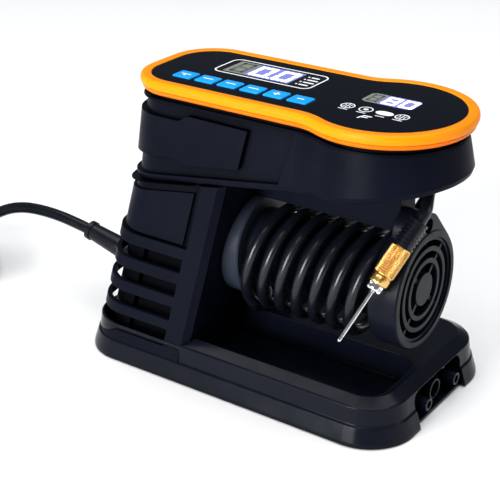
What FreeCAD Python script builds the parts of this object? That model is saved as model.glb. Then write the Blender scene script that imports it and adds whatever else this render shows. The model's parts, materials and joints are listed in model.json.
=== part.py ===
import FreeCAD, Part
import math
import os
from FreeCAD import Vector as V

# Small electric inflation pump.  Millimetres, +Z up, +X towards the drum end, the near side at -Y.
# The origin is the centre of the footprint on the surface the pump stands on.

# ---------------------------------------------------------------- driving dimensions
BASE_X0, BASE_X1, BASE_W, BASE_R = -119.6, 116.4, 69.5, 31.2
BASE_FLOOR_Z = 0.8          # underside of the bottom plate, on its feet
SKIRT_Z, BAND_Z, DECK_Z = 13.0, 24.5, 28.0
TRAY_FLOOR_Z = 10.0
WALL = 2.5

RAKE = 0.137                # lean of the rear wall and the front wall, x per z
REAR_X28 = -112.7           # rear wall at z = 28
FRONT_X26 = -31.5           # front wall of the column at z = 26
COLUMN_W26, BATTER = 63.0, 0.2108
COLUMN_R, FRONT_CHAMFER = 27.0, 4.0

UNDER_Z0, UNDER_SLOPE = 130.5, 0.157   # underside of the head, z = z0 + slope x
HEAD_DRAFT = 0.089

LID_W, LID_X0, LID_CORNER = 35.4, -87.2, 24.0
DISC_X, DISC_R, WAIST_R = 69.1, 44.5, 39.0
TRIM_Z0, TRIM_Z1, PANEL_Z = 175.4, 184.9, 184.5

DRUM_Z = 76.5
BOSS_R, CORE_R, CAP_R = 33.5, 24.0, 37.0
BOSS_X1, CAP_X0, CAP_X1 = -13.7, 80.6, 99.6
LUG_R, LUG_Z = 13.0, 112.0
HOSE_D, HOSE_R, HOSE_PITCH, HOSE_TURNS = 7.5, 32.0, 12.3, 6.3
HOSE_X0, HOSE_PHASE = -7.2, 120.0
HOSE_Z, HOSE_LEAN = 72.5, 0.16         # the loose coil hangs from the top of the drum, its turns leaning

MODULE, PINION_TEETH, GEAR_TEETH = 1.0, 16, 48
GEAR_X0, GEAR_X1 = -54.5, -46.5
CRANK_R, CYL_X, BORE_R = 6.0, -68.0, 10.0

BUTTON_COUNT, BUTTON_PITCH, BUTTON_X0, BUTTON_Y = 6, 16.5, -60.2, -19.7
BUTTON_L, BUTTON_W = 13.4, 11.4

CORD_D, COIL_R, COIL_C = 8.0, 47.8, (-286.0, -56.0)
COIL_HALF, COIL_H = 9.8, 24.0        # the put-away coil: half its band's width, and its height

GEAR_Z = DRUM_Z - MODULE * (PINION_TEETH + GEAR_TEETH) / 2

parts = {}


# ---------------------------------------------------------------- helpers
def box(x0, x1, y0, y1, z0, z1):
    return Part.makeBox(x1 - x0, y1 - y0, z1 - z0, V(x0, y0, z0))


def rod(x0, x1, y, z, r):
    """Cylinder along X."""
    return Part.makeCylinder(r, x1 - x0, V(x0, y, z), V(1, 0, 0))


def post(x, y, z0, z1, r):
    """Cylinder along Z."""
    return Part.makeCylinder(r, z1 - z0, V(x, y, z0), V(0, 0, 1))


def tube_x(x0, x1, y, z, r_out, r_in):
    return rod(x0, x1, y, z, r_out).cut(rod(x0 - 1, x1 + 1, y, z, r_in))


def arc(centre, r, a0, a1, z=0.0):
    """Arc in a level plane from angle a0 to a1 (degrees), either way round."""
    def at(a):
        t = math.radians(a)
        return V(centre[0] + r * math.cos(t), centre[1] + r * math.sin(t), z)
    return Part.Arc(at(a0), at((a0 + a1) / 2), at(a1)).toShape()


def line(p, q, z=0.0):
    return Part.makeLine(V(p[0], p[1], z), V(q[0], q[1], z))


def rounded_rect(x0, x1, y0, y1, r, z=0.0):
    """Closed wire, from the near edge anticlockwise."""
    return Part.Wire([
        line((x0 + r, y0), (x1 - r, y0), z), arc((x1 - r, y0 + r), r, -90, 0, z),
        line((x1, y0 + r), (x1, y1 - r), z), arc((x1 - r, y1 - r), r, 0, 90, z),
        line((x1 - r, y1), (x0 + r, y1), z), arc((x0 + r, y1 - r), r, 90, 180, z),
        line((x0, y1 - r), (x0, y0 + r), z), arc((x0 + r, y0 + r), r, 180, 270, z)])


def slab(x0, x1, y0, y1, r, z0, z1):
    return Part.Face(rounded_rect(x0, x1, y0, y1, r, z0)).extrude(V(0, 0, z1 - z0))


def loft(wires):
    return Part.makeLoft(wires, True, True)


def prism_xz(points, y0, y1):
    wire = Part.makePolygon([V(x, y0, z) for x, z in points + points[:1]])
    return Part.Face(wire).extrude(V(0, y1 - y0, 0))


def mirror_y(shape):
    return shape.mirror(V(0, 0, 0), V(0, 1, 0))


def fuse(first, *others):
    return first.multiFuse(list(others)).removeSplitter()


def group(shapes):
    return Part.makeCompound(shapes)


def pipe(points, r, bend=None):
    """Round tube along straight runs joined by tangent arcs; each arc is 0.45 of its shorter run."""
    pts = [V(*p) for p in points]
    edges, start = [], pts[0]
    for before, at, after in zip(pts, pts[1:], pts[2:]):
        u, w = (at - before), (after - at)
        lu, lw = u.Length, w.Length
        u.normalize()
        w.normalize()
        turn = u.getAngle(w)
        cut = 0.45 * min(lu, lw)
        radius = cut / math.tan(turn / 2)
        if bend is not None:
            bend.append(radius)
        p, q = at - u * cut, at + w * cut
        mid_dir = (w - u)
        mid_dir.normalize()
        centre = at + mid_dir * math.hypot(cut, radius)
        edges.append(Part.makeLine(start, p))
        edges.append(Part.Arc(p, centre - mid_dir * radius, q).toShape())
        start = q
    edges.append(Part.makeLine(start, pts[-1]))
    path = Part.Wire(edges)
    first = pts[1] - pts[0]
    profile = Part.Wire([Part.makeCircle(r, pts[0], first)])
    solid = path.makePipeShell([profile], True, True)
    return solid, path.Length


# ---------------------------------------------------------------- outlines of the three casings
def base_wire(inset, z):
    r = BASE_R - inset
    return rounded_rect(BASE_X0 + inset, BASE_X1 - inset, inset - BASE_W, BASE_W - inset, r, z)


def column_wire(inset, z):
    """Battered, raked column: round rear corners, chamfered front corners."""
    x0 = REAR_X28 + RAKE * (z - 28) + inset
    x1 = FRONT_X26 + RAKE * (z - 26) - inset
    w = COLUMN_W26 - BATTER * (z - 26) - inset
    r = COLUMN_R - inset * 0.6
    c = FRONT_CHAMFER
    return Part.Wire([
        line((x0 + r, -w), (x1 - c, -w), z), line((x1 - c, -w), (x1, c - w), z),
        line((x1, c - w), (x1, w - c), z), line((x1, w - c), (x1 - c, w), z),
        line((x1 - c, w), (x0 + r, w), z), arc((x0 + r, w - r), r, 90, 180, z),
        line((x0, w - r), (x0, r - w), z), arc((x0 + r, r - w), r, 180, 270, z)])


def column_solid(inset, z0, z1):
    return loft([column_wire(inset, z0), column_wire(inset, z1)])


def lid_wire(grow, x0, z, slope=0.0):
    """Rectangle running through a concave waist into a disc, offset outwards by grow."""
    w, big, waist = LID_W + grow, DISC_R + grow, WAIST_R - grow
    reach = big + waist
    xw = DISC_X - math.sqrt(reach ** 2 - (w + waist) ** 2)
    a = math.degrees(math.atan2(w + waist, xw - DISC_X))     # from the disc to the far waist centre
    r = LID_CORNER + max(grow, -6)
    wire = Part.Wire([
        line((x0 + r, -w), (xw, -w)), arc((xw, -w - waist), waist, 90, 180 - a),
        arc((DISC_X, 0), big, -a, a), arc((xw, w + waist), waist, a - 180, -90),
        line((xw, w), (x0 + r, w)), arc((x0 + r, w - r), r, 90, 180),
        line((x0, w - r), (x0, r - w)), arc((x0 + r, r - w), r, 180, 270)])
    tilt = FreeCAD.Matrix()
    tilt.A31, tilt.A34 = slope, z
    return wire.transformGeometry(tilt) if slope else wire.translated(V(0, 0, z))


def head_wire(inset, above_floor):
    """Outline of the head's wall in a plane parallel to its underside."""
    z = UNDER_Z0 + above_floor
    x_mid = -40.0
    z_mid = z + UNDER_SLOPE * x_mid
    grow = 2.0 + HEAD_DRAFT * (173 - z_mid) - inset
    x0 = REAR_X28 + RAKE * (z - 14.5 - 28) + inset
    return lid_wire(grow, x0, z, UNDER_SLOPE)


def head_solid(inset, floor):
    """Tub between its sloping floor and the level rim; the lower edge is rounded."""
    corner = 4.0
    steps = [(corner, 0.0), (corner * 0.3, corner * 0.3), (0.0, corner)]
    low = [head_wire(inset + i, floor + h) for i, h in steps]
    x_rim = REAR_X28 + RAKE * (170.8 - 28) + inset
    rim = [lid_wire(2.1 - inset, x_rim, 170.8), lid_wire(1.4 - inset, x_rim + 0.7, 172.4)]
    return loft(low + rim)


def lid_ring(grow, z):
    return lid_wire(grow, LID_X0 - grow, z)


def lid_slab(grow, z0, z1):
    return Part.Face(lid_ring(grow, z0)).extrude(V(0, 0, z1 - z0))


def under(x):
    return UNDER_Z0 + UNDER_SLOPE * x


# ---------------------------------------------------------------- base
def make_base():
    outer = loft([base_wire(i, z) for i, z in (
        (0.0, 0.8), (0.3, 3.0), (3.2, 12.2), (4.0, 13.0), (4.4, 13.4), (5.8, 23.8),
        (6.6, BAND_Z), (12.4, 27.4), (13.6, DECK_Z))])
    cavity = loft([base_wire(i, z) for i, z in ((2.6, 0.0), (3.0, 3.0), (6.8, 13.0), (9.0, 22.6),
                                                (15.5, 25.4))])

    def tray(grow, z0):
        wires = []
        for inset, z in ((17.0 - grow, DECK_Z + 0.01), (20.0 - grow, z0)):
            x1, y0, y1 = BASE_X1 - inset, inset - 3 - BASE_W, -0.5 + grow
            r = 14.0
            wires.append(rounded_rect(-62, x1, y0, y1, r, z))
        return loft(wires)

    niche = Part.Face(Part.Wire([
        Part.makeLine(V(102, -29, 0), V(102, 30, 0)), Part.makeLine(V(102, 30, 0), V(102, 30, 17.5)),
        Part.Arc(V(102, 30, 17.5), V(102, 28.24, 21.74), V(102, 24, 23.5)).toShape(),
        Part.makeLine(V(102, 24, 23.5), V(102, -23, 23.5)),
        Part.Arc(V(102, -23, 23.5), V(102, -27.24, 21.74), V(102, -29, 17.5)).toShape(),
        Part.makeLine(V(102, -29, 17.5), V(102, -29, 0))])).extrude(V(30, 0, 0))
    cavity = cavity.cut(tray(WALL, TRAY_FLOOR_Z - WALL))
    cavity = cavity.cut(box(99.4, 130, -31.5, 32.5, 0, 26))
    cavity = cavity.cut(box(-130, -27, -80, 80, 10.5, 40))
    shell = outer.cut(cavity).cut(tray(0, TRAY_FLOOR_Z)).cut(niche)
    shell = shell.cut(column_solid(0, SKIRT_Z, 60))
    shell = shell.cut(slab(-103, -41, -54, 54, 16, 9, 14))
    shell = shell.cut(Part.Face(base_wire(3.3, 0)).extrude(V(0, 0, 2.9)))
    parts["base_shell"] = shell

    plate = Part.Face(base_wire(3.6, BASE_FLOOR_Z)).extrude(V(0, 0, 2.0))
    feet, screws = [], []
    for x, y in ((-92, -42), (-92, 42), (86, -44), (86, 44)):
        feet.append(fuse(post(x, y, 0, BASE_FLOOR_Z, 8), post(x, y, BASE_FLOOR_Z, 2.8, 4)))
        plate = plate.cut(post(x, y, 0, 3, 4))
    for x, y in ((-106, 0), (-8, 60), (-8, -60), (98, 34), (92, -20)):
        pocket = post(x, y, 0, 1.6, 3.0)
        screws.append(fuse(post(x, y, 0.9, 1.6, 2.8), post(x, y, 1.6, 6.5, 1.4)))
        plate = plate.cut(pocket).cut(post(x, y, 0, 5, 1.5))
    parts["base_plate"] = plate
    parts["rubber_feet"] = group(feet)

    rack_x, face_x = 102.0, 103.6
    back = box(rack_x, face_x, -27, 28, 3.2, 22)
    for y in (-17.5, 17.5):
        back = back.cut(rod(rack_x - 1, face_x + 1, y, 19.2, 1.3))
        head = rod(face_x, 106.4, y, 19.2, 2.6).cut(box(105.8, 107, y - 2.2, y + 2.2, 18.8, 19.6))
        screws.append(fuse(head, rod(rack_x, face_x, y, 19.2, 1.2)))
    holders = [tube_x(face_x, x1, y, 12, r_out, r_in) for y, r_out, r_in, x1 in (
        (-18, 4.0, 2.5, 115.4), (18, 4.0, 2.5, 115.4), (0, 6.8, 5.3, 110.0))]
    parts["storage_rack"] = group([back] + holders)
    parts["case_screws"] = group(screws)


# ---------------------------------------------------------------- column
SLOTS = ((68.8, 77.8), (53.0, 61.7), (37.3, 46.4), (19.9, 31.2))


def slot_cutter(z0, z1, side):
    """One vent slot: wraps the rear corner, from the rear spine to the frame strip."""
    x1 = -44.5 + RAKE * (z0 - 70) + 2.0
    y0, y1 = (-90, -15) if side < 0 else (15, 90)
    lean = RAKE * (z1 - z0)
    region = prism_xz([(-140, z0), (x1, z0), (x1 + lean, z1), (-140, z1)], y0, y1)
    return region.cut(column_solid(9.0, 10, 90))


def make_column():
    z0, z1 = SKIRT_Z, 140.0
    outer = column_solid(0, z0, z1)
    below_head = prism_xz([(-150, z0 - 5), (40, z0 - 5), (40, under(40)), (-150, under(-150))], -90, 90)
    outer = outer.common(below_head)
    pane_low, pane_in = 84.6, 2.0

    def pane(x_low, x_high, z_low, drop):
        """Side region of the recessed pane; its top edge follows the head's underside."""
        top = [(x_high, under(x_high) - drop), (-150, under(-150) - drop)]
        return prism_xz([(-150, z_low), (x_low, z_low)] + top, -90, 90)

    inner = column_solid(WALL, z0 - 1, z1)
    thick = pane(-36.0, -29.0, 80, -6).cut(column_solid(6.2, 60, z1))
    inner = inner.cut(thick)
    recess = pane(-42.7, -38.0, pane_low, 0.01).cut(column_solid(3.6, 60, z1))
    shell = outer.cut(inner).cut(recess)

    bevel = []
    for z, xp, xq in ((pane_low, -38.5, -43.0), (132.0, -31.4, -37.6)):
        w = COLUMN_W26 - BATTER * (z - 26)
        bevel.append(Part.makePolygon([V(xp, -w - 0.6, z), V(xq, 3.6 - w, z), V(xq, -w - 0.6, z),
                                       V(xp, -w - 0.6, z)]))
    wedge = loft(bevel)
    shell = shell.cut(wedge).cut(mirror_y(wedge))
    for low, high in SLOTS:
        for side in (-1, 1):
            shell = shell.cut(slot_cutter(low, high, side))
    shell = shell.cut(rod(-60, 0, 0, DRUM_Z, 19.6))            # motor opening
    shell = shell.cut(rod(-60, 0, 14, 38, 4.6))                # hose fitting
    relief_hole = Part.makeCylinder(5.6, 40, V(-125, 0, 30.0), V(1, 0, 0.25))
    shell = shell.cut(relief_hole)
    near = box(-150, 60, -90, 0, 0, 200)
    parts["column_near"] = shell.common(near)
    parts["column_far"] = shell.cut(near)

    pane_skin = pane(-44.0, -39.4, pane_low + 1.2, 5.2)
    pane_skin = pane_skin.common(column_solid(pane_in, 60, z1)).cut(column_solid(3.6, 60, z1))
    parts["window_panel"] = pane_skin

    liner = column_solid(9.5, 15, 82).cut(column_solid(11.5, 14, 83))
    keep = prism_xz([(-82.5, 14), (-43.5, 14), (-35.5, 84), (-73.5, 84)], -90, 90)
    liner = liner.common(keep).cut(box(-100, 0, -36, 36, 0, 100))
    baffle = column_solid(6.0, 15, 79.8).cut(column_solid(7.4, 14, 83)).cut(box(-130, 0, -14, 14, 0, 100))
    behind = prism_xz([(-130, 14), (-83.5, 14), (-74.5, 84), (-130, 84)], -90, 90)
    parts["vent_liners"] = group([liner, baffle.common(behind)])


# ---------------------------------------------------------------- head
def recess_region(points):
    return prism_xz(points, -70, 70)


def make_head():
    outer = head_solid(0, 0)
    neck = Part.Face(lid_ring(-0.3, 172.0)).extrude(V(0, 0, 3.4))
    outer = outer.fuse(neck)
    side = recess_region([(-150, under(-150) + 5.2), (21.5, under(21.5) + 5.2), (30.2, 171.0),
                          (-150, 171.0)])
    inner = head_solid(WALL, WALL).fuse(Part.Face(lid_ring(-WALL - 0.3, 168)).extrude(V(0, 0, 12)))
    thick = recess_region([(-150, 90), (25, 90), (34, 173.0), (-150, 173.0)])
    inner = inner.cut(thick.cut(head_solid(5.4, 0.5)).cut(lid_slab(-3.4, 160, 190)))
    shell = outer.cut(inner).cut(side.cut(head_solid(2.8, 0)))
    shell = shell.cut(slab(-88, -50, -24, 24, 6, 100, 140))    # cable way into the column
    parts["head_shell"] = shell.removeSplitter()

    left, right = -52.5, -46.5          # the plate's upper and lower edges step between these
    plate = recess_region([(-150, 129.9), (left - 3, 138.0), (right, 135.8), (-7.4, 141.5),
                           (-2.2, 165.8), (right + 1, 166.3), (left, 162.2), (-150, 161.4)])
    skin = plate.common(head_solid(-0.5, -4)).cut(head_solid(2.8, 0))
    parts["label_plate"] = skin


def make_lid():
    trim = loft([lid_ring(g, z) for g, z in (
        (1.5, TRIM_Z0), (4.4, 178.0), (5.6, 178.5), (6.6, 180.4), (6.8, 181.8), (6.3, 183.8),
        (5.4, 184.7), (4.2, TRIM_Z1))])
    trim = trim.cut(lid_slab(-0.1, 180.9, 190)).cut(lid_slab(-WALL, 170, 190))
    trim = trim.cut(lid_slab(-0.2, 170, 175.4))
    parts["trim_bezel"] = trim

    panel = lid_slab(-0.2, 181.0, PANEL_Z)
    windows = {"lcd_main": (-52.5, 13.5, -0.4, 24.6), "lcd_small": (49.8, 83.0, -0.2, 16.8)}
    for name, (x0, x1, y0, y1) in windows.items():
        panel = panel.cut(slab(x0, x1, y0, y1, 4, 180, 190))
        glass = slab(x0 + 0.1, x1 - 0.1, y0 + 0.1, y1 - 0.1, 3.9, 181.0, PANEL_Z - 0.15)
        parts[name] = fuse(glass, slab(x0 + 3, x1 - 3, y0 + 1, y1 - 1, 1, 173.0, 181.0))
    half_l, half_w, gap = BUTTON_L / 2, BUTTON_W / 2, 0.3
    for k in range(BUTTON_COUNT):
        x = BUTTON_X0 + BUTTON_PITCH * k
        panel = panel.cut(slab(x - half_l - gap, x + half_l + gap, BUTTON_Y - half_w - gap,
                               BUTTON_Y + half_w + gap, 1.5, 180, 190))
        cap = slab(x - half_l, x + half_l, BUTTON_Y - half_w, BUTTON_Y + half_w, 1.2, 180.0, 185.3)
        flange = slab(x - half_l - 1, x + half_l + 1, BUTTON_Y - half_w - 1, BUTTON_Y + half_w + 1,
                      1.2, 179.6, 180.5)
        parts["button_%d" % (k + 1)] = fuse(cap, flange)
    parts["control_panel"] = panel

    key_x1 = BUTTON_X0 + BUTTON_PITCH * (BUTTON_COUNT - 1)
    key_board = box(BUTTON_X0 - 9, key_x1 + 9, BUTTON_Y - 7, BUTTON_Y + 7, 175.6, 177.0)
    for k in range(BUTTON_COUNT):
        x = BUTTON_X0 + BUTTON_PITCH * k
        key_board = key_board.fuse(box(x - 3, x + 3, BUTTON_Y - 3, BUTTON_Y + 3, 177.0, 178.0))
        key_board = key_board.fuse(post(x, BUTTON_Y, 178.0, 178.6, 1.6))
    parts["key_board"] = key_board.removeSplitter()
    board = slab(-74, 98, -26, 27, 4, 171.4, 173.0)
    board = board.cut(box(27, 39, -40, -22, 160, 180)).cut(box(27, 39, 24, 40, 160, 180))
    parts["control_board"] = board
    sensor = fuse(box(24, 40, -8, 8, 164.4, 171.4), post(32, 0, 158.4, 164.4, 2.2))
    parts["pressure_sensor"] = sensor


# ---------------------------------------------------------------- drum
def make_drum():
    boss = rod(-45, BOSS_X1, 0, DRUM_Z, BOSS_R)
    boss = boss.makeChamfer(1.2, [e for e in boss.Edges if abs(e.CenterOfMass.x - BOSS_X1) < 0.01])
    boss = boss.cut(rod(-50, BOSS_X1 - 3, 0, DRUM_Z, BOSS_R - 3)).cut(rod(-60, 0, 0, DRUM_Z, 19.6))
    parts["drum_boss"] = boss.cut(column_solid(0, 15, 140))
    parts["drum_core"] = tube_x(BOSS_X1, CAP_X0, 0, DRUM_Z, CORE_R, CORE_R - 2.4)

    cap = rod(CAP_X0, CAP_X1, 0, DRUM_Z, CAP_R)
    ends = [e for e in cap.Edges if abs(abs(e.CenterOfMass.x - 90.1) - 9.5) < 0.01]
    cap = cap.makeFillet(1.4, ends)
    lug_x0, lug_x1 = CAP_X0 + 1.5, CAP_X1 - 0.6
    lug = box(lug_x0, lug_x1, -LUG_R, LUG_R, DRUM_Z, LUG_Z).fuse(rod(lug_x0, lug_x1, 0, LUG_Z, LUG_R))
    shoulder = [V(lug_x0, 0, LUG_Z), V(lug_x0, 9.6, 120.8), V(lug_x0, 27.3, 101.5), V(lug_x0, 0, DRUM_Z)]
    shoulder = Part.Face(Part.makePolygon(shoulder + shoulder[:1])).extrude(V(lug_x1 - lug_x0, 0, 0))
    cap = cap.fuse(lug).fuse(shoulder)
    cap = cap.cut(rod(84, 110, 0, DRUM_Z, 32.4)).cut(rod(70, 110, 0, DRUM_Z, 21.4))
    cap = cap.cut(rod(92, 110, 0, 117.6, 4.6)).cut(rod(70, 100, 0, 117.6, 1.6))
    parts["end_cap"] = cap.removeSplitter()

    face_x0, face_x1 = 95.4, 98.4
    rings = [(32.3, 30.4), (26.6, 23.6), (19.4, 16.4)]
    solids = [tube_x(face_x0, face_x1, 0, DRUM_Z, a, b) for a, b in rings]
    solids.append(rod(face_x0, face_x1, 0, DRUM_Z, 10.2))
    for k in range(4):
        spoke = box(face_x0, face_x1 - 1.0, -1.3, 1.3, DRUM_Z + 5, DRUM_Z + 31)
        spoke.rotate(V(0, 0, DRUM_Z), V(1, 0, 0), 45 + 90 * k)
        solids.append(spoke)
    parts["end_grille"] = fuse(*solids)

    hanger = prism_xz([(-24, 110.3), (lug_x0, 110.3), (lug_x0, under(lug_x0)), (-24, under(-24))], -4, 14)
    hanger = hanger.cut(column_solid(0, 15, 140))
    parts["drum_hanger"] = hanger.cut(rod(70, 90, 0, 117.6, 1.3)).cut(rod(79, 90, 0, DRUM_Z, CAP_R))
    screw = fuse(rod(92, 94.6, 0, 117.6, 3.9), rod(74, 92, 0, 117.6, 1.25))
    parts["cap_screw"] = screw.cut(box(94, 96, -3, 3, 117.2, 118)).cut(box(94, 96, -0.4, 0.4, 114.6, 120.6))


# ---------------------------------------------------------------- motor and gears
def involute_gear(teeth, x0, x1, y, z, bore, phase):
    """Spur gear along X; phase is the angle of one tooth's centre from +Z towards +Y, in degrees."""
    pitch_r = MODULE * teeth / 2
    base_r = pitch_r * math.cos(math.radians(20))
    tip_r, root_r = pitch_r + 0.9 * MODULE, pitch_r - 1.2 * MODULE
    backlash = 0.12

    def roll(r):
        a = math.acos(min(1.0, base_r / r))
        return math.tan(a) - a

    half_pitch = (math.pi * MODULE / 2 - backlash) / 2 / pitch_r + roll(pitch_r)
    radii = [max(base_r, root_r) + (tip_r - max(base_r, root_r)) * k / 4 for k in range(5)]
    flank = [(r, half_pitch - roll(r)) for r in radii]
    if root_r < base_r:
        flank = [(root_r, flank[0][1])] + flank
    outline = []
    for k in range(teeth):
        mid = math.radians(phase) + 2 * math.pi * k / teeth
        outline += [(r, mid - a) for r, a in flank] + [(r, mid + a) for r, a in reversed(flank)]
    points = [V(x0, y + r * math.sin(a), z + r * math.cos(a)) for r, a in outline]
    face = Part.Face(Part.makePolygon(points + points[:1]))
    return face.extrude(V(x1 - x0, 0, 0)).cut(rod(x0 - 1, x1 + 1, y, z, bore))


def make_drive():
    can_x0, can_x1 = -42.5, 25.0
    can = tube_x(can_x0, can_x1, 0, DRUM_Z, 18.0, 15.6)
    for x in (can_x0, can_x1 - 3):
        can = can.fuse(tube_x(x, x + 3, 0, DRUM_Z, 18.0, 6.0))
    parts["motor_can"] = can.removeSplitter()
    parts["motor_bearings"] = group([tube_x(can_x0, can_x0 + 3, 0, DRUM_Z, 5.98, 2.04),
                                     tube_x(can_x1 - 3, can_x1, 0, DRUM_Z, 5.98, 2.04)])
    parts["motor_shaft"] = rod(-55.4, 77, 0, DRUM_Z, 2.0)
    parts["motor_armature"] = tube_x(-32, 14, 0, DRUM_Z, 13.0, 2.0)
    fan = tube_x(66, 76, 0, DRUM_Z, 5.0, 2.0)
    for k in range(7):
        blade = box(67, 75, -0.7, 0.7, DRUM_Z + 4.4, DRUM_Z + 18.5)
        blade.rotate(V(71, 0, DRUM_Z + 10), V(0, 0, 1), 32)
        blade.rotate(V(0, 0, DRUM_Z), V(1, 0, 0), 360 / 7 * k)
        fan = fan.fuse(blade)
    parts["cooling_fan"] = fan.removeSplitter()
    parts["drive_pinion"] = involute_gear(PINION_TEETH, GEAR_X0, GEAR_X1, 0, DRUM_Z, 2.0,
                                          180 - 180 / PINION_TEETH)
    gear = involute_gear(GEAR_TEETH, GEAR_X0, GEAR_X1, 0, GEAR_Z, 3.04, 0)
    pin = rod(GEAR_X0 - 11.2, GEAR_X0, 0, GEAR_Z + CRANK_R, 2.5)
    parts["crank_gear"] = gear.fuse(pin).removeSplitter()
    parts["gear_axle"] = fuse(rod(GEAR_X0 - 1.2, -41.8, 0, GEAR_Z, 3.0),
                              rod(GEAR_X0 - 2.0, GEAR_X0 - 0.3, 0, GEAR_Z, 3.3))

    frame = box(-45.5, -42.5, -27, 27, 16, 100).fuse(box(-81, -45.5, -14, 14, 88, 100))
    frame = frame.cut(rod(-50, -40, 0, DRUM_Z, 6.4)).cut(rod(-50, -40, 0, GEAR_Z, 3.0))
    frame = frame.cut(post(CYL_X, 0, 60, 110, 12.0))
    frame = frame.fuse(box(-81, -42.5, -20, 20, 10.6, 13.6)).fuse(box(-45.5, -42.5, -20, 20, 13, 17))
    parts["gearbox_frame"] = frame.removeSplitter()

    parts["cylinder"] = post(CYL_X, 0, 72, 102, 12.0).cut(post(CYL_X, 0, 70, 104, BORE_R))
    head = slab(CYL_X - 13, CYL_X + 13, -13, 13, 3, 102, 111)
    head = head.cut(Part.makeCylinder(1.6, 16, V(CYL_X, 0, 106.5), V(0, -1, 0)))
    piston = post(CYL_X, 0, 88, 98, BORE_R - 0.06).cut(post(CYL_X, 0, 85, 93.5, 7.6))
    groove = post(CYL_X, 0, 95.0, 96.6, BORE_R + 1).cut(post(CYL_X, 0, 94, 97, 8.6))
    parts["piston"] = piston.cut(groove)
    parts["piston_ring"] = post(CYL_X, 0, 95.1, 96.5, BORE_R - 0.03).cut(post(CYL_X, 0, 94, 97, 8.7))
    pin_z, eye_z = GEAR_Z + CRANK_R, 90.0
    con_rod = rod(CYL_X - 2, CYL_X + 2, 0, pin_z, 5.5).fuse(rod(CYL_X - 2, CYL_X + 2, 0, eye_z, 3.4))
    con_rod = con_rod.fuse(box(CYL_X - 2, CYL_X + 2, -2.4, 2.4, pin_z, eye_z))
    con_rod = con_rod.cut(rod(CYL_X - 3, CYL_X + 3, 0, pin_z, 2.6))
    parts["connecting_rod"] = con_rod.cut(rod(CYL_X - 3, CYL_X + 3, 0, eye_z, 1.6)).removeSplitter()
    parts["piston_pin"] = rod(CYL_X - 7.3, CYL_X + 7.3, 0, eye_z, 1.6)

    barb = Part.makeCylinder(1.6, 9, V(CYL_X, -4, 106.5), V(0, -1, 0))
    barb = barb.fuse(Part.makeCylinder(2.4, 7, V(CYL_X, -13, 106.5), V(0, -1, 0)))
    head = head.fuse(barb).cut(Part.makeCylinder(0.9, 20, V(CYL_X, -3, 106.5), V(0, -1, 0)))
    parts["cylinder_head"] = head.removeSplitter()
    tube, _ = pipe([(CYL_X, -20, 106.5), (CYL_X, -32.5, 106.5), (-58, -33.5, 92), (-46, -33.5, 68),
                    (-39.4, -31, 47), (-38.6, -17, 37.5), (-38.5, 3, 38)], 2.4)
    parts["inner_air_tube"] = tube
    parts["power_board"] = box(-90, -46, 32.4, 34, 30, 96)
    power = [fuse(box(-90, -74, 18, 32.4, 58, 76), box(-87, -77, 16.5, 32.4, 61, 73))]
    power += [Part.makeCylinder(5, 16, V(-83, 32.4, z), V(0, -1, 0)) for z in (38, 49.5)]
    parts["transformer_and_capacitors"] = group(power)


# ---------------------------------------------------------------- air hose and its chuck
CHUCK_TOP = V(100.3, -16.0, 126.5)
CHUCK_DIR = V(-0.262, -0.602, -0.754)


def along(distance):
    d = V(CHUCK_DIR)
    d.normalize()
    return CHUCK_TOP + d * distance


def turned(d0, d1, r, r1=None):
    """Round or tapered piece on the chuck's axis, between two distances from the collar's top."""
    d = V(CHUCK_DIR)
    d.normalize()
    if r1 is None or r1 == r:
        return Part.makeCylinder(r, d1 - d0, along(d0), d)
    return Part.makeCone(r, r1, d1 - d0, along(d0), d)


def hose_point(turns):
    a = math.radians(HOSE_PHASE - 360 * turns)
    rise = HOSE_R * math.cos(a)
    return V(HOSE_X0 + HOSE_PITCH * turns + HOSE_LEAN * rise, -HOSE_R * math.sin(a), HOSE_Z + rise)


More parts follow.
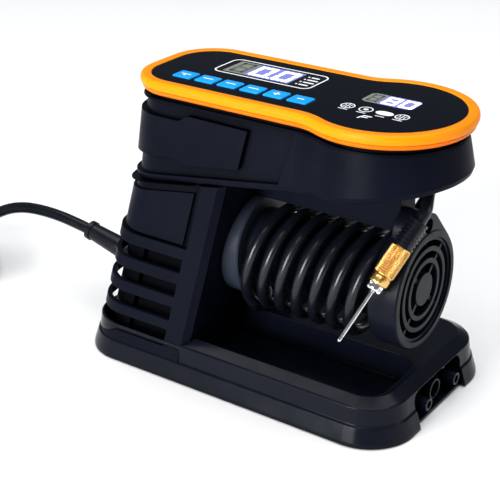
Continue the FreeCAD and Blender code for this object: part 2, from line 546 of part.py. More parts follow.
def make_hose():
    helix = Part.makeHelix(HOSE_PITCH, HOSE_PITCH * HOSE_TURNS, HOSE_R, 0, True)
    helix.rotate(V(0, 0, 0), V(0, 1, 0), 90)
    start = helix.Vertexes[0].Point
    now = math.degrees(math.atan2(-start.y, start.z))
    helix.rotate(V(0, 0, 0), V(1, 0, 0), HOSE_PHASE - now)
    helix.translate(V(HOSE_X0, 0, HOSE_Z))
    ends = [v.Point for v in helix.Vertexes]
    a = math.radians(HOSE_PHASE)
    tangent = V(HOSE_PITCH / (2 * math.pi * HOSE_R), math.cos(a), math.sin(a))
    profile = Part.Wire([Part.makeCircle(HOSE_D / 2, ends[0], tangent)])
    coil = Part.Wire(helix).makePipeShell([profile], True, True)
    lean = FreeCAD.Matrix()
    lean.A13, lean.A14 = HOSE_LEAN, -HOSE_LEAN * HOSE_Z
    coil = coil.transformGeometry(lean)

    t0 = hose_point(0) - hose_point(0.001)
    t0.normalize()
    lead_in = [hose_point(0) + t0 * s for s in (0, 7)]
    root = [tuple(p) for p in lead_in] + [(-9.6, -19.0, 42), (-12.5, -9.5, 35.8), (-16.0, 1.5, 33.6),
                                          (-20.5, 11.5, 36.3), (-29.8, 14, 38)]
    root_pipe, root_len = pipe(root, HOSE_D / 2)
    end = hose_point(HOSE_TURNS)
    t1 = end - hose_point(HOSE_TURNS - 0.001)
    t1.normalize()
    d = V(CHUCK_DIR)
    d.normalize()
    back = CHUCK_TOP - d * 7
    tail = [tuple(end), tuple(end + t1 * 9), (75.5, 19.5, 106.5), (78.0, 31.0, 114), (82.5, 34.0, 126),
            (87.5, 26.0, 136), (92.5, 12, 140), (98.5, -2.5, 138.5), tuple(back), tuple(CHUCK_TOP)]
    tail_pipe, tail_len = pipe(tail, HOSE_D / 2)
    turn = math.hypot(2 * math.pi * HOSE_R, HOSE_PITCH)
    print("hose length", round(turn * HOSE_TURNS + root_len + tail_len, 1))

    fitting = rod(-40.6, -30.0, 14, 38, 4.5)
    root_pipe = root_pipe.cut(fitting).cut(coil)
    parts["air_hose"] = group([coil, root_pipe, tail_pipe.cut(coil)])
    fitting = fitting.fuse(Part.makeCylinder(2.2, 11, V(-38.5, 14, 38), V(0, -1, 0)))
    fitting = fitting.cut(Part.makeCylinder(1.1, 12, V(-38.5, 14, 38), V(0, -1, 0)))
    parts["hose_fitting"] = fitting.cut(rod(-38.5, -29, 14, 38, 1.6)).removeSplitter()
    collar = turned(0, 17, 6.0, 6.4)
    for k in range(6):
        at = 1.6 + 2.5 * k
        collar = collar.cut(turned(at, at + 1.1, 8).cut(turned(at - 1, at + 2, 5.5)))
    parts["hose_collar"] = collar
    chuck = turned(17.2, 37.2, 6.3).fuse(turned(37.2, 38.0, 5.6)).fuse(turned(38.0, 42.2, 5.9, 5.3))
    parts["chuck_body"] = chuck.cut(turned(17, 22, 2.0)).removeSplitter()
    jaw = turned(42.3, 46.6, 4.9, 4.7).cut(turned(45.4, 47, 3.2))
    parts["chuck_jaw"] = jaw.cut(turned(42, 48, 1.65))
    needle = fuse(turned(42.3, 47.3, 1.6), turned(47.3, 80.5, 1.1), turned(80.5, 81.3, 1.1, 0.6))
    parts["ball_needle"] = needle.cut(Part.makeCylinder(0.4, 4, along(78.5) - V(2, 0, 0), V(1, 0, 0)))


# ---------------------------------------------------------------- mains lead
CORD_ROUTE = [(-111.0, 0.0, 33.6), (-138.0, 0.0, 41.2), (-166.0, 0.0, 47.6), (-200.0, 0.0, 51.6),
              (-234.0, -1.0, 49.0), (-262.0, -3.0, 34.5), (-286.0, -3.7, 18.5)]


def make_cord():
    cx, cy = COIL_C
    start, relief_end = V(*CORD_ROUTE[0]), V(*CORD_ROUTE[2])
    bends = []
    tube, length = pipe(CORD_ROUTE, CORD_D / 2, bends)
    direction = V(*CORD_ROUTE[1]) - start
    relief = Part.makeCone(7.8, 7.2, direction.Length, start, direction)
    second = relief_end - V(*CORD_ROUTE[1])
    relief = relief.fuse(Part.makeCone(7.2, 6.0, second.Length - 3, V(*CORD_ROUTE[1]), second))
    second.normalize()
    ring_at = relief_end - second * 5
    relief = relief.fuse(Part.makeCylinder(6.9, 3.2, ring_at, second))
    relief = relief.fuse(Part.makeSphere(7.2, V(*CORD_ROUTE[1])))
    relief = relief.cut(tube)
    relief = relief.cut(column_solid(0, 14, 100))
    parts["cord_strain_relief"] = relief.removeSplitter()

    r_in, r_out = COIL_R - COIL_HALF, COIL_R + COIL_HALF
    coil = post(cx, cy, 0, COIL_H, r_out).cut(post(cx, cy, -1, COIL_H + 1, r_in))
    tie = box(cx + r_in - 1.6, cx + r_out + 1.6, cy - 5, cy + 5, 0, COIL_H + 1.2)
    tie = tie.cut(box(cx + r_in - 0.4, cx + r_out + 0.4, cy - 6, cy + 6, 1.0, COIL_H + 0.01))
    coil = coil.cut(tie).cut(box(cx + r_in - 2, cx + r_out + 2, cy - 5, cy + 5, -1, 1.0))
    parts["cord_coil"] = coil
    parts["cord_tie"] = tie
    tube = tube.cut(post(cx, cy, -1, COIL_H, r_out)).cut(column_solid(0, 14, 100))
    parts["power_cord"] = max(tube.Solids, key=lambda solid: solid.Volume)
    print("cord tube length", round(length, 1), "bend radii", [round(b, 1) for b in bends])

    px, py, pz = cx, cy - COIL_R + 1.8, COIL_H + 8.6      # the plug lies on the coil, pointing along +X
    plug = slab(px - 10, px + 22, py - 9, py + 9, 4, pz - 8.6, pz + 8.6)
    tail = Part.makeCone(6.0, 4.6, 18, V(px - 10, py, pz - 1.8), V(-1, 0, -0.06))
    parts["plug_body"] = plug.fuse(tail).removeSplitter()
    blades = []
    for side in (-1, 1):
        y = py + side * 6.35
        blade = box(px + 22, px + 39.5, y - 0.75, y + 0.75, pz - 3.2, pz + 3.2)
        blades.append(blade.cut(Part.makeCylinder(1.6, 4, V(px + 36, y - 2, pz), V(0, 1, 0))))
    parts["plug_blades"] = group(blades)


def main():
    make_base()
    make_column()
    make_head()
    make_lid()
    make_drum()
    make_drive()
    make_hose()
    make_cord()
    os.makedirs("parts", exist_ok=True)
    for name, shape in parts.items():
        if not shape.isValid() or shape.Volume <= 0:
            print("NOT VALID", name, shape.isValid(), shape.Volume)
        shape.exportStep("parts/%s.step" % name)
        b = shape.optimalBoundingBox(False, False)
        print("%-22s solids %d  vol %9.1f  x %7.1f %7.1f  y %6.1f %6.1f  z %6.1f %6.1f" % (
            name, len(shape.Solids), shape.Volume, b.XMin, b.XMax, b.YMin, b.YMax, b.ZMin, b.ZMax))
    print(len(parts), "nodes")


main()
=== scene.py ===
"""Looks of the small electric inflation pump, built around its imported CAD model. Metres, +Z up."""
import json
import math

import bmesh
import bpy
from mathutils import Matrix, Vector


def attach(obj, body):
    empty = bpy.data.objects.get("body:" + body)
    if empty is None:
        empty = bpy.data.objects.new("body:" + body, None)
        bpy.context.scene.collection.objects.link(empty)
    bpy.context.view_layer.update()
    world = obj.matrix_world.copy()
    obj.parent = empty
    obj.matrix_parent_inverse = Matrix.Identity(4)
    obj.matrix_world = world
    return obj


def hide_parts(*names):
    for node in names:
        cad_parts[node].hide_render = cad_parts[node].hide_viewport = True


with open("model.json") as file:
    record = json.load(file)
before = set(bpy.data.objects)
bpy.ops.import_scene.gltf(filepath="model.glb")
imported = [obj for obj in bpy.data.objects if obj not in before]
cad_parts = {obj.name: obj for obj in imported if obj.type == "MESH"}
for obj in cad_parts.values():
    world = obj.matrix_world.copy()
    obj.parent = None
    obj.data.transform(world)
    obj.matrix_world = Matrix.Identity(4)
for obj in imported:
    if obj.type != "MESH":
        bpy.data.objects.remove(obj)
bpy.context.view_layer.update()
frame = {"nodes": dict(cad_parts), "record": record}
NODES = frame["nodes"]
SCENE = bpy.context.scene
MM = 0.001


# ---------------------------------------------------------------- dimensions that part.py also has, in mm
LID_W, LID_X0, LID_CORNER = 35.4, -87.2, 24.0
DISC_X, DISC_R, WAIST_R = 69.1, 44.5, 39.0
PANEL_Z = 184.5
KEY_X0, KEY_PITCH, KEY_Y, KEY_L, KEY_W = -60.2, 16.5, -19.7, 13.4, 11.4
CHUCK_TOP = Vector((100.3, -16.0, 126.5))
CHUCK_DIR = Vector((-0.262, -0.602, -0.754)).normalized()
CORD_D, CORD_LENGTH = 8.0, 1.8
CORD_ROUTE = [(-111.0, 0.0, 33.6), (-138.0, 0.0, 41.2), (-166.0, 0.0, 47.6), (-200.0, 0.0, 51.6),
              (-234.0, -1.0, 49.0), (-262.0, -3.0, 34.5), (-282.5, -3.7, 20.1)]
COIL_C, COIL_R = (-286.0, -56.0), 47.8


# ---------------------------------------------------------------- camera
CAMERA_AT, CAMERA_AIM = Vector((0.39265, -0.6042, 0.4174)), Vector((-0.0268, 0.0, 0.06835))
LENS_MM, SENSOR_MM = 90.96, 36


def make_camera():
    data = bpy.data.cameras.new("camera")
    data.sensor_width = SENSOR_MM
    data.lens = LENS_MM
    camera = bpy.data.objects.new("camera", data)
    SCENE.collection.objects.link(camera)
    camera.location = CAMERA_AT
    camera.rotation_mode = "QUATERNION"
    camera.rotation_quaternion = (CAMERA_AIM - CAMERA_AT).to_track_quat("-Z", "Y")
    data.clip_start, data.clip_end = 0.01, 50
    SCENE.camera = camera


# ---------------------------------------------------------------- node materials
class Paint:
    """One Principled material; its methods add nodes."""

    def __init__(self, name, metallic=0.0, rough=0.5, **fixed):
        self.material = bpy.data.materials.new(name)
        self.material.use_nodes = True
        self.tree = self.material.node_tree
        self.shader = self.tree.nodes["Principled BSDF"]
        self.shader.inputs["Metallic"].default_value = metallic
        self.shader.inputs["Roughness"].default_value = rough
        for socket, value in fixed.items():
            self.shader.inputs[socket.replace("_", " ")].default_value = value
        self.at = self.node("ShaderNodeTexCoord").outputs["Object"]

    def node(self, kind, **settings):
        made = self.tree.nodes.new(kind)
        for key, value in settings.items():
            setattr(made, key, value)
        return made

    def put(self, value, socket):
        if hasattr(value, "is_linked"):
            self.tree.links.new(value, socket)
        else:
            socket.default_value = value

    def noise(self, scale, detail=2.0, rough=0.5, stretch=None):
        made = self.node("ShaderNodeTexNoise")
        made.inputs["Scale"].default_value = scale
        made.inputs["Detail"].default_value = detail
        made.inputs["Roughness"].default_value = rough
        vector = self.at
        if stretch:
            mapping = self.node("ShaderNodeMapping")
            mapping.inputs["Scale"].default_value = stretch
            self.put(self.at, mapping.inputs["Vector"])
            vector = mapping.outputs["Vector"]
        self.put(vector, made.inputs["Vector"])
        return made.outputs["Fac"]

    def span(self, value, low, high, from_low=0.3, from_high=0.7):
        made = self.node("ShaderNodeMapRange")
        limits = {"From Min": from_low, "From Max": from_high, "To Min": low, "To Max": high}
        for key, number in limits.items():
            made.inputs[key].default_value = number
        self.put(value, made.inputs["Value"])
        return made.outputs["Result"]

    def mix(self, share, a, b):
        made = self.node("ShaderNodeMix", data_type="RGBA")
        self.put(share, made.inputs[0])
        self.put(a, made.inputs[6])
        self.put(b, made.inputs[7])
        return made.outputs[2]

    def colour(self, value):
        self.put(value, self.shader.inputs["Base Color"])
        return self

    def roughness(self, value):
        self.put(value, self.shader.inputs["Roughness"])
        return self

    def paint_gap_shade(self, colour, reach):
        """Painted shade: darkens a colour in narrow gaps and inner corners, over that reach in metres."""
        open_share = self.node("ShaderNodeAmbientOcclusion", samples=8)
        open_share.inputs["Distance"].default_value = reach
        share = self.span(open_share.outputs["AO"], 0, 1, 0.45, 0.9)
        # near-black painted shade where little of the surround is open
        return self.mix(share, rgb(0.0003, 0.0004, 0.0008), colour)

    def relief(self, height, depth, strength=1.0, round_edges=0.0):
        """Bump of that depth in metres, over edges rounded by that radius."""
        bump = self.node("ShaderNodeBump")
        bump.inputs["Strength"].default_value = strength
        bump.inputs["Distance"].default_value = depth
        self.put(height, bump.inputs["Height"])
        if round_edges:
            bevel = self.node("ShaderNodeBevel", samples=6)
            bevel.inputs["Radius"].default_value = round_edges
            self.put(bevel.outputs["Normal"], bump.inputs["Normal"])
        self.put(bump.outputs["Normal"], self.shader.inputs["Normal"])
        return self


def rgb(r, g, b):
    return (r, g, b, 1.0)


def moulded(name, dark, light, rough, grain=2600, depth=0.00002, edges=0.0005, shine=0.25, gaps=0.0):
    """Moulded plastic, rubber or fabric; grain is per metre, its depth, edges and gaps are in metres; gaps is
    the reach of painted shade in narrow gaps and inner corners.
    """
    p = Paint(name, Specular_IOR_Level=shine)
    shade = p.mix(p.span(p.noise(35, 3), 0, 1), dark, light)
    p.colour(p.paint_gap_shade(shade, gaps) if gaps else shade)
    p.roughness(p.span(p.noise(90, 4), rough - 0.05, rough + 0.06))
    return p.relief(p.noise(grain, 3, 0.6), depth, 0.6, edges).material


def metal(name, dark, light, rough, brushed=(1, 1, 1), edges=0.0002):
    p = Paint(name, metallic=1.0)
    p.colour(p.mix(p.span(p.noise(160, 4), 0, 1), dark, light))
    p.roughness(p.span(p.noise(400, 4, 0.6, brushed), rough - 0.04, rough + 0.08))
    return p.relief(p.noise(1800, 3, 0.6, brushed), 0.00001, 0.4, edges).material


def glow(name, low, high, strength):
    """Lit part of a display, and the painted glow of white print: even light with a faint cell texture."""
    p = Paint(name, rough=0.4)
    shade = p.mix(p.span(p.noise(900, 1), 0, 1), low, high)
    p.colour(shade)
    p.put(shade, p.shader.inputs["Emission Color"])
    p.shader.inputs["Emission Strength"].default_value = strength
    return p.material


def make_materials():
    """Every material by name: its dark shade, its light shade and its roughness, then what else it sets."""
    m = {}

    def plastic(name, dark, light, rough, **differs):
        m[name] = moulded(name, rgb(*dark), rgb(*light), rough, **differs)

    def metallic(name, dark, light, rough, **differs):
        m[name] = metal(name, rgb(*dark), rgb(*light), rough, **differs)

    def lit(name, low, high, strength):
        m[name] = glow(name, rgb(*low), rgb(*high), strength)

    body_dark, body_light = (0.0026, 0.0036, 0.0078), (0.0036, 0.0049, 0.0100)
    # gaps: painted shade darkens the narrow gaps and inner corners of the body and base plastics
    plastic("body_plastic", body_dark, body_light, 0.38, shine=0.03, gaps=0.008)
    plastic("base_plastic", body_dark, body_light, 0.2,
            grain=2200, depth=0.000006, edges=0.0008, shine=0.12, gaps=0.008)
    plastic("drum_plastic", (0.0030, 0.0042, 0.0085), (0.0042, 0.0055, 0.0105), 0.33,
            grain=2200, depth=0.000006, edges=0.0006, shine=0.09)
    plastic("trim_orange", (0.88, 0.245, 0.0), (0.92, 0.275, 0.001), 0.4,
            grain=2200, depth=0.000003, edges=0.0, shine=0.12)
    plastic("panel_gloss", (0.0016, 0.0022, 0.0056), (0.0022, 0.0030, 0.0072), 0.14,
            grain=60, depth=0.00001, edges=0.0002, shine=0.03)
    plastic("key_blue", (0.003, 0.30, 0.86), (0.006, 0.36, 0.93), 0.35,
            grain=1500, depth=0.000004, edges=0.0, shine=0.15)
    plastic("foot_rubber", (0.012, 0.012, 0.013), (0.022, 0.022, 0.024), 0.75, grain=1500, depth=0.00004)
    plastic("hose_rubber", (0.0035, 0.0042, 0.007), (0.005, 0.006, 0.0095), 0.24,
            grain=700, depth=0.000006, edges=0.0, shine=0.35)
    plastic("cord_rubber", (0.0028, 0.0034, 0.006), (0.004, 0.0048, 0.008), 0.26,
            grain=900, depth=0.000006, edges=0.0, shine=0.2)
    plastic("air_tube", (0.62, 0.62, 0.58), (0.72, 0.72, 0.68), 0.3, grain=600, depth=0.00001)
    plastic("gear_nylon", (0.74, 0.72, 0.64), (0.82, 0.80, 0.72), 0.42, grain=900, depth=0.00001)
    plastic("board_green", (0.012, 0.12, 0.045), (0.02, 0.16, 0.06), 0.3, grain=500, depth=0.00003)
    plastic("component_dark", (0.03, 0.03, 0.035), (0.05, 0.05, 0.055), 0.5, grain=1200, depth=0.00003)
    plastic("tie_fabric", (0.012, 0.012, 0.014), (0.03, 0.03, 0.034), 0.9, grain=1600, depth=0.0002)
    metallic("brass_gold", (0.74, 0.42, 0.12), (0.88, 0.54, 0.19), 0.2, edges=0.0)
    metallic("chrome_steel", (0.78, 0.78, 0.78), (0.86, 0.86, 0.86), 0.12)
    metallic("bright_steel", (0.80, 0.79, 0.77), (0.88, 0.87, 0.85), 0.16)
    metallic("screw_steel", (0.45, 0.45, 0.45), (0.56, 0.56, 0.55), 0.3)
    metallic("cast_alloy", (0.50, 0.50, 0.51), (0.60, 0.60, 0.61), 0.45)
    metallic("motor_steel", (0.42, 0.42, 0.43), (0.50, 0.50, 0.51), 0.35, brushed=(1, 12, 12))
    metallic("armature_copper", (0.62, 0.25, 0.12), (0.75, 0.34, 0.18), 0.32)
    plastic("display_glass", (0.003, 0.0035, 0.008), (0.004, 0.0045, 0.010), 0.1,
            grain=60, depth=0.000005, edges=0.0, shine=0.06)
    # Painted light: a lighter copy of the black plastic, standing for the front light on the drum boss
    plastic("boss_painted_light", (0.017, 0.022, 0.034), (0.024, 0.030, 0.045), 0.36,
            grain=1600, depth=0.000008, edges=0.0006, shine=0.2)
    # Painted shade: a darker copy of the black plastic for the liners deep in the vent slots
    plastic("liner_painted_shade", (0.0007, 0.0009, 0.0016), (0.0011, 0.0014, 0.0024), 0.5, shine=0.02)
    # Painted shade: a darker copy of the trim orange for the lower step, which faces down from the light
    plastic("trim_step_painted_shade", (0.80, 0.155, 0.003), (0.84, 0.18, 0.004), 0.42,
            grain=2200, depth=0.000003, edges=0.0, shine=0.1)
    # White print with a painted glow: its faint emission brightens the key signs and panel marks, which are
    # no lamps
    lit("ink_white_glow", (0.82, 0.85, 0.88), (0.9, 0.92, 0.94), 0.15)
    lit("digit_white", (0.9, 0.92, 1.0), (1.0, 1.0, 1.0), 0.9)
    lit("digit_dim", (0.07, 0.085, 0.06), (0.09, 0.105, 0.075), 0.1)
    lit("cell_violet", (0.16, 0.17, 0.50), (0.20, 0.21, 0.58), 0.25)
    lit("cell_olive", (0.17, 0.185, 0.165), (0.22, 0.235, 0.21), 0.1)
    return m


# ---------------------------------------------------------------- mesh helpers
def new_object(name, mesh, material, body="housing"):
    made = bpy.data.objects.new(name, mesh)
    SCENE.collection.objects.link(made)
    for each in material if isinstance(material, (list, tuple)) else [material]:
        mesh.materials.append(each)
    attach(made, body)
    return made


def finish_mesh(bm, name, smooth_deg=40):
    bmesh.ops.recalc_face_normals(bm, faces=bm.faces)
    mesh = bpy.data.meshes.new(name)
    bm.to_mesh(mesh)
    bm.free()
    mesh.polygons.foreach_set("use_smooth", [True] * len(mesh.polygons))
    mesh.set_sharp_from_angle(angle=math.radians(smooth_deg))
    return mesh


def add_loops(bm, loops, close_ends=True, close_ring=False, index=0):
    """Skin over closed loops of equal count, given in mm; the ends are capped, or joined to each other."""
    rings = [[bm.verts.new(Vector(p) * MM) for p in loop] for loop in loops]
    pairs = list(zip(rings, rings[1:])) + ([(rings[-1], rings[0])] if close_ring else [])
    count = len(rings[0])
    for low, high in pairs:
        for k in range(count):
            face = bm.faces.new((low[k], low[(k + 1) % count], high[(k + 1) % count], high[k]))
            face.material_index = index
    if close_ends and not close_ring:
        for end in (rings[0][::-1], rings[-1]):
            bm.faces.new(end).material_index = index
    return rings


def rounded(x0, x1, y0, y1, r, steps=6):
    """Corner points of a rounded rectangle, anticlockwise."""
    points = []
    corners = [(x1 - r, y0 + r, -90), (x1 - r, y1 - r, 0), (x0 + r, y1 - r, 90), (x0 + r, y0 + r, 180)]
    for cx, cy, start in corners:
        for k in range(steps + 1):
            a = math.radians(start + 90 * k / steps)
            points.append((cx + r * math.cos(a), cy + r * math.sin(a)))
    return points


def sweep_arc(centre, r, a0, a1, steps):
    return [(centre[0] + r * math.cos(math.radians(a0 + (a1 - a0) * k / steps)),
             centre[1] + r * math.sin(math.radians(a0 + (a1 - a0) * k / steps))) for k in range(steps)]


def lid_outline(grow):
    """The head's outline grown outwards, (x, y) in mm, with the same number of points for any growth."""
    w, big, waist = LID_W + grow, DISC_R + grow, WAIST_R - grow
    xw = DISC_X - math.sqrt((big + waist) ** 2 - (w + waist) ** 2)
    a = math.degrees(math.atan2(w + waist, xw - DISC_X))
    x0, r = LID_X0 - grow, LID_CORNER + max(grow, -6)
    straight = 16

    def run(p, q):
        step = ((q[0] - p[0]) / straight, (q[1] - p[1]) / straight)
        return [(p[0] + step[0] * k, p[1] + step[1] * k) for k in range(straight)]

    return (run((x0 + r, -w), (xw, -w)) + sweep_arc((xw, -w - waist), waist, 90, 180 - a, 24)
            + sweep_arc((DISC_X, 0), big, -a, a, 96) + sweep_arc((xw, w + waist), waist, a - 180, -90, 24)
            + run((xw, w), (x0 + r, w)) + sweep_arc((x0 + r, w - r), r, 90, 180, 24)
            + run((x0, w - r), (x0, r - w)) + sweep_arc((x0 + r, r - w), r, 180, 270, 24))


def across(direction):
    """Two unit vectors square to a direction."""
    side = direction.cross(Vector((0, 0, 1)))
    if side.length < 0.01:
        side = direction.cross(Vector((1, 0, 0)))
    side.normalize()
    return side, direction.cross(side).normalized()


def add_turned(bm, origin, direction, profile, count=48, index=0, close_ring=False, bump=None):
    """Solid of revolution from (distance, radius) pairs in mm; bump(distance, angle) adds to the radius."""
    side, up = across(direction)
    loops = []
    for d, r in profile:
        loop = []
        for k in range(count):
            a = 2 * math.pi * k / count
            rr = r + (bump(d, a) if bump else 0.0)
            loop.append(origin + direction * d + side * (rr * math.cos(a)) + up * (rr * math.sin(a)))
        loops.append(loop)
    return add_loops(bm, loops, close_ring=close_ring, index=index)


def add_prism(bm, outline, z0, z1, index=0):
    add_loops(bm, [[(x, y, z) for x, y in outline] for z in (z0, z1)], index=index)


def add_band(bm, outer, inner, z0, z1, index=0):
    """Flat ring between two outlines of equal count."""
    loops = [[(x, y, z) for x, y in line] for line, z in ((outer, z0), (outer, z1), (inner, z1), (inner, z0))]
    add_loops(bm, loops, close_ring=True, index=index)


# ---------------------------------------------------------------- mains lead
OUTER_R, INNER_R, LAYERS = COIL_R + 4.5, COIL_R - 4.5, (20.0, 12.0, 4.0)
COIL_TURNS = 5.07
POINTS_PER_TURN = 16
BEND_C, BEND_R = (-308.0, -67.8), 34.4
STRAP_W = 10.0


def coil_place(t):
    """Radius and height after t turns: down the layers on the outside, then up again on the inside."""
    top, middle, low = LAYERS
    steps = [(0.6, 1.0, "z", top, middle), (1.6, 2.0, "z", middle, low), (2.3, 2.7, "r", OUTER_R, INNER_R),
             (3.1, 3.4, "z", low, middle), (4.1, 4.4, "z", middle, top)]
    place = {"r": OUTER_R, "z": top}
    for t0, t1, which, before, after in steps:
        share = min(max((t - t0) / (t1 - t0), 0.0), 1.0)
        if t > t0:
            place[which] = before + (after - before) * (0.5 - 0.5 * math.cos(math.pi * share))
    return place["r"], place["z"]


def coil_points():
    # the smooth line runs inside its control points, so they stand that much further out
    widen = 1 / (0.25 * (3 + math.cos(2 * math.pi / POINTS_PER_TURN)))
    points = []
    for k in range(1, int(COIL_TURNS * POINTS_PER_TURN) + 1):
        t = k / POINTS_PER_TURN
        r, z = coil_place(t)
        a = math.radians(90 + 360 * t)
        points.append((COIL_C[0] + r * widen * math.cos(a), COIL_C[1] + r * widen * math.sin(a), z))
    return points


def leave_coil():
    """The last stretch: off the inside of the coil, over its left side and into the plug's tail."""
    points = [(-317.0, -22.3, 21.5), (-328.0, -30.5, 23.5), (-336.4, -41.8, 26.0), (-341.2, -54.8, 28.2)]
    for k in range(6):
        a = math.radians(180 + 18 * k)
        z = min(29.2 + 0.3 * k, 29.9)
        points.append((BEND_C[0] + BEND_R * math.cos(a), BEND_C[1] + BEND_R * math.sin(a), z))
    return points + [(-300.0, -102.2, 30.0)]


def make_strap(m):
    """Fabric strap drawn tight round the coil's turns, on the coil's right side."""
    outside = [(OUTER_R, coil_place(t)[1]) for t in (0.75, 1.75)]
    centres = [Vector((COIL_C[0] + r, 0, z)) for r, z in outside + [(INNER_R, z) for z in LAYERS]]

    def wrap(gap, y):
        loop = []
        for k in range(64):
            a = 2 * math.pi * k / 64
            out = Vector((math.cos(a), 0, math.sin(a)))
            point = max(centres, key=lambda c: c.dot(out)) + out * (CORD_D / 2 + gap)
            loop.append((point.x, y, max(point.z, 0.0)))
        return loop

    near, far = COIL_C[1] - STRAP_W / 2, COIL_C[1] + STRAP_W / 2
    outer_side = [wrap(1.2, near + 0.3), wrap(1.3, near + 0.8), wrap(1.3, far - 0.8), wrap(1.2, far - 0.3)]
    inner_side = [wrap(0.2, far), wrap(0.1, far - 1.0), wrap(0.1, near + 1.0), wrap(0.2, near)]
    bm = bmesh.new()
    add_loops(bm, outer_side + inner_side, close_ring=True)
    strap = new_object("coil_strap", finish_mesh(bm, "coil_strap", 50), m["tie_fabric"])
    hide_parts("cord_tie")
    return strap


def make_cord(m):
    points = CORD_ROUTE + coil_points() + leave_coil()
    curve = bpy.data.curves.new("mains_lead", "CURVE")
    curve.dimensions = "3D"
    spline = curve.splines.new("NURBS")
    spline.points.add(len(points) - 1)
    for p, xyz in zip(spline.points, points):
        p.co = (*[c * MM for c in xyz], 1.0)
    spline.order_u = 3
    spline.use_endpoint_u = True
    spline.resolution_u = 6
    curve.bevel_depth = CORD_D / 2 * MM
    curve.bevel_resolution = 6
    curve.use_fill_caps = True
    cord = new_object("mains_lead", curve, m["cord_rubber"])
    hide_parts("power_cord", "cord_coil")
    make_strap(m)
    return cord


# ---------------------------------------------------------------- trim, panel and keys
TRIM_GROOVE_Z = 178.9


def make_trim(m):
    """Orange two-step band round the head's top edge; its profile is (growth, z) pairs in mm."""
    lower_step = [(1.5, 175.4), (2.0, 175.45), (4.3, 176.1), (5.3, 177.0), (5.6, 178.0), (5.5, 178.6)]
    groove = [(5.0, 178.75), (5.0, 178.95)]
    upper_step = [(5.9, 179.1), (6.4, 179.7), (6.7, 180.6), (6.8, 181.7), (6.7, 182.8), (6.35, 183.8),
                  (5.8, 184.5), (5.2, 184.85), (4.6, 184.9), (1.0, 184.9), (0.35, 184.75), (0.0, 184.2)]
    back = [(-0.05, 181.0), (-0.2, 175.4)]
    profile = lower_step + groove + upper_step + back
    bm = bmesh.new()
    add_loops(bm, [[(x, y, z) for x, y in lid_outline(g)] for g, z in profile], close_ring=True)
    # faces below the groove take the darker orange, painted shade on the lower step
    for face in bm.faces:
        face.material_index = 1 if face.calc_center_median().z < TRIM_GROOVE_Z * MM else 0
    trim = new_object("trim_band", finish_mesh(bm, "trim_band", 60), [m["trim_orange"], m["trim_step_painted_shade"]])
    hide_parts("trim_bezel")


KEY_PROFILE = [(0, 179.7), (0, 184.75), (0.08, 185.0), (0.25, 185.16), (0.5, 185.24), (1.6, 185.26)]
KEY_MARK_Z = (185.25, 185.3)
MINUS = (-2.3, 2.3, -0.5, 0.5, 0.2)
KEY_SIGNS = {"bar": [(-3.6, 3.6, -0.15, 0.75, 0.2)], "dot": [(-0.9, 0.9, -2.4, -1.2, 0.3)], "minus": [MINUS],
             "plus": [MINUS, (-0.5, 0.5, 0.5, 2.3, 0.2), (-0.5, 0.5, -2.3, -0.5, 0.2)]}


def make_keys(m):
    """Six key caps from (inset, z) pairs, each with plain printed signs, given from the key's middle."""
    half_l, half_w = KEY_L / 2, KEY_W / 2
    marks = [["bar", "dot"], ["bar"], ["bar"], ["bar"], ["plus"], ["minus"]]
    for k, signs in enumerate(marks):
        x = KEY_X0 + KEY_PITCH * k
        bm = bmesh.new()
        loops = []
        for inset, z in KEY_PROFILE:
            line = rounded(x - half_l + inset, x + half_l - inset, KEY_Y - half_w + inset,
                           KEY_Y + half_w - inset, max(1.2 - inset * 0.5, 0.4))
            loops.append([(px, py, z) for px, py in line])
        add_loops(bm, loops)
        for sign in signs:
            for x0, x1, y0, y1, r in KEY_SIGNS[sign]:
                add_prism(bm, rounded(x + x0, x + x1, KEY_Y + y0, KEY_Y + y1, r, 2), *KEY_MARK_Z, 1)
        name = "key_cap_%d" % (k + 1)
        inks = [m["key_blue"], m["ink_white_glow"]]
        cap = new_object(name, finish_mesh(bm, name), inks, "key_%d" % (k + 1))
        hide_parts("button_%d" % (k + 1))


SEGMENTS = {"0": "abcdef", "8": "abcdefg"}
GLASS_TOP = PANEL_Z - 0.15
CELL_Z = (GLASS_TOP, GLASS_TOP + 0.03)
DIGIT_Z = (GLASS_TOP + 0.03, GLASS_TOP + 0.07)
LABEL_Z = (GLASS_TOP, GLASS_TOP + 0.05)
VIOLET, OLIVE, BRIGHT, DIM, INK = 1, 2, 3, 4, 5


def add_digit(bm, char, x, y, w, h, t, z0, z1, index):
    """Seven-segment figure with its near left corner at x, y; t is the stroke."""
    g = 0.12 * t
    m_y = y + h / 2
    spots = {"a": (x + g, x + w - g, y + h - t, y + h), "g": (x + t, x + w - t, m_y - t / 2, m_y + t / 2),
             "d": (x + g, x + w - g, y, y + t),
             "f": (x, x + t, m_y + g, y + h - g), "e": (x, x + t, y + g, m_y - g),
             "b": (x + w - t, x + w, m_y + g, y + h - g), "c": (x + w - t, x + w, y + g, m_y - g)}
    for s in SEGMENTS[char]:
        x0, x1, y0, y1 = spots[s]
        add_prism(bm, rounded(x0, x1, y0, y1, t * 0.3, 2), z0, z1, index)


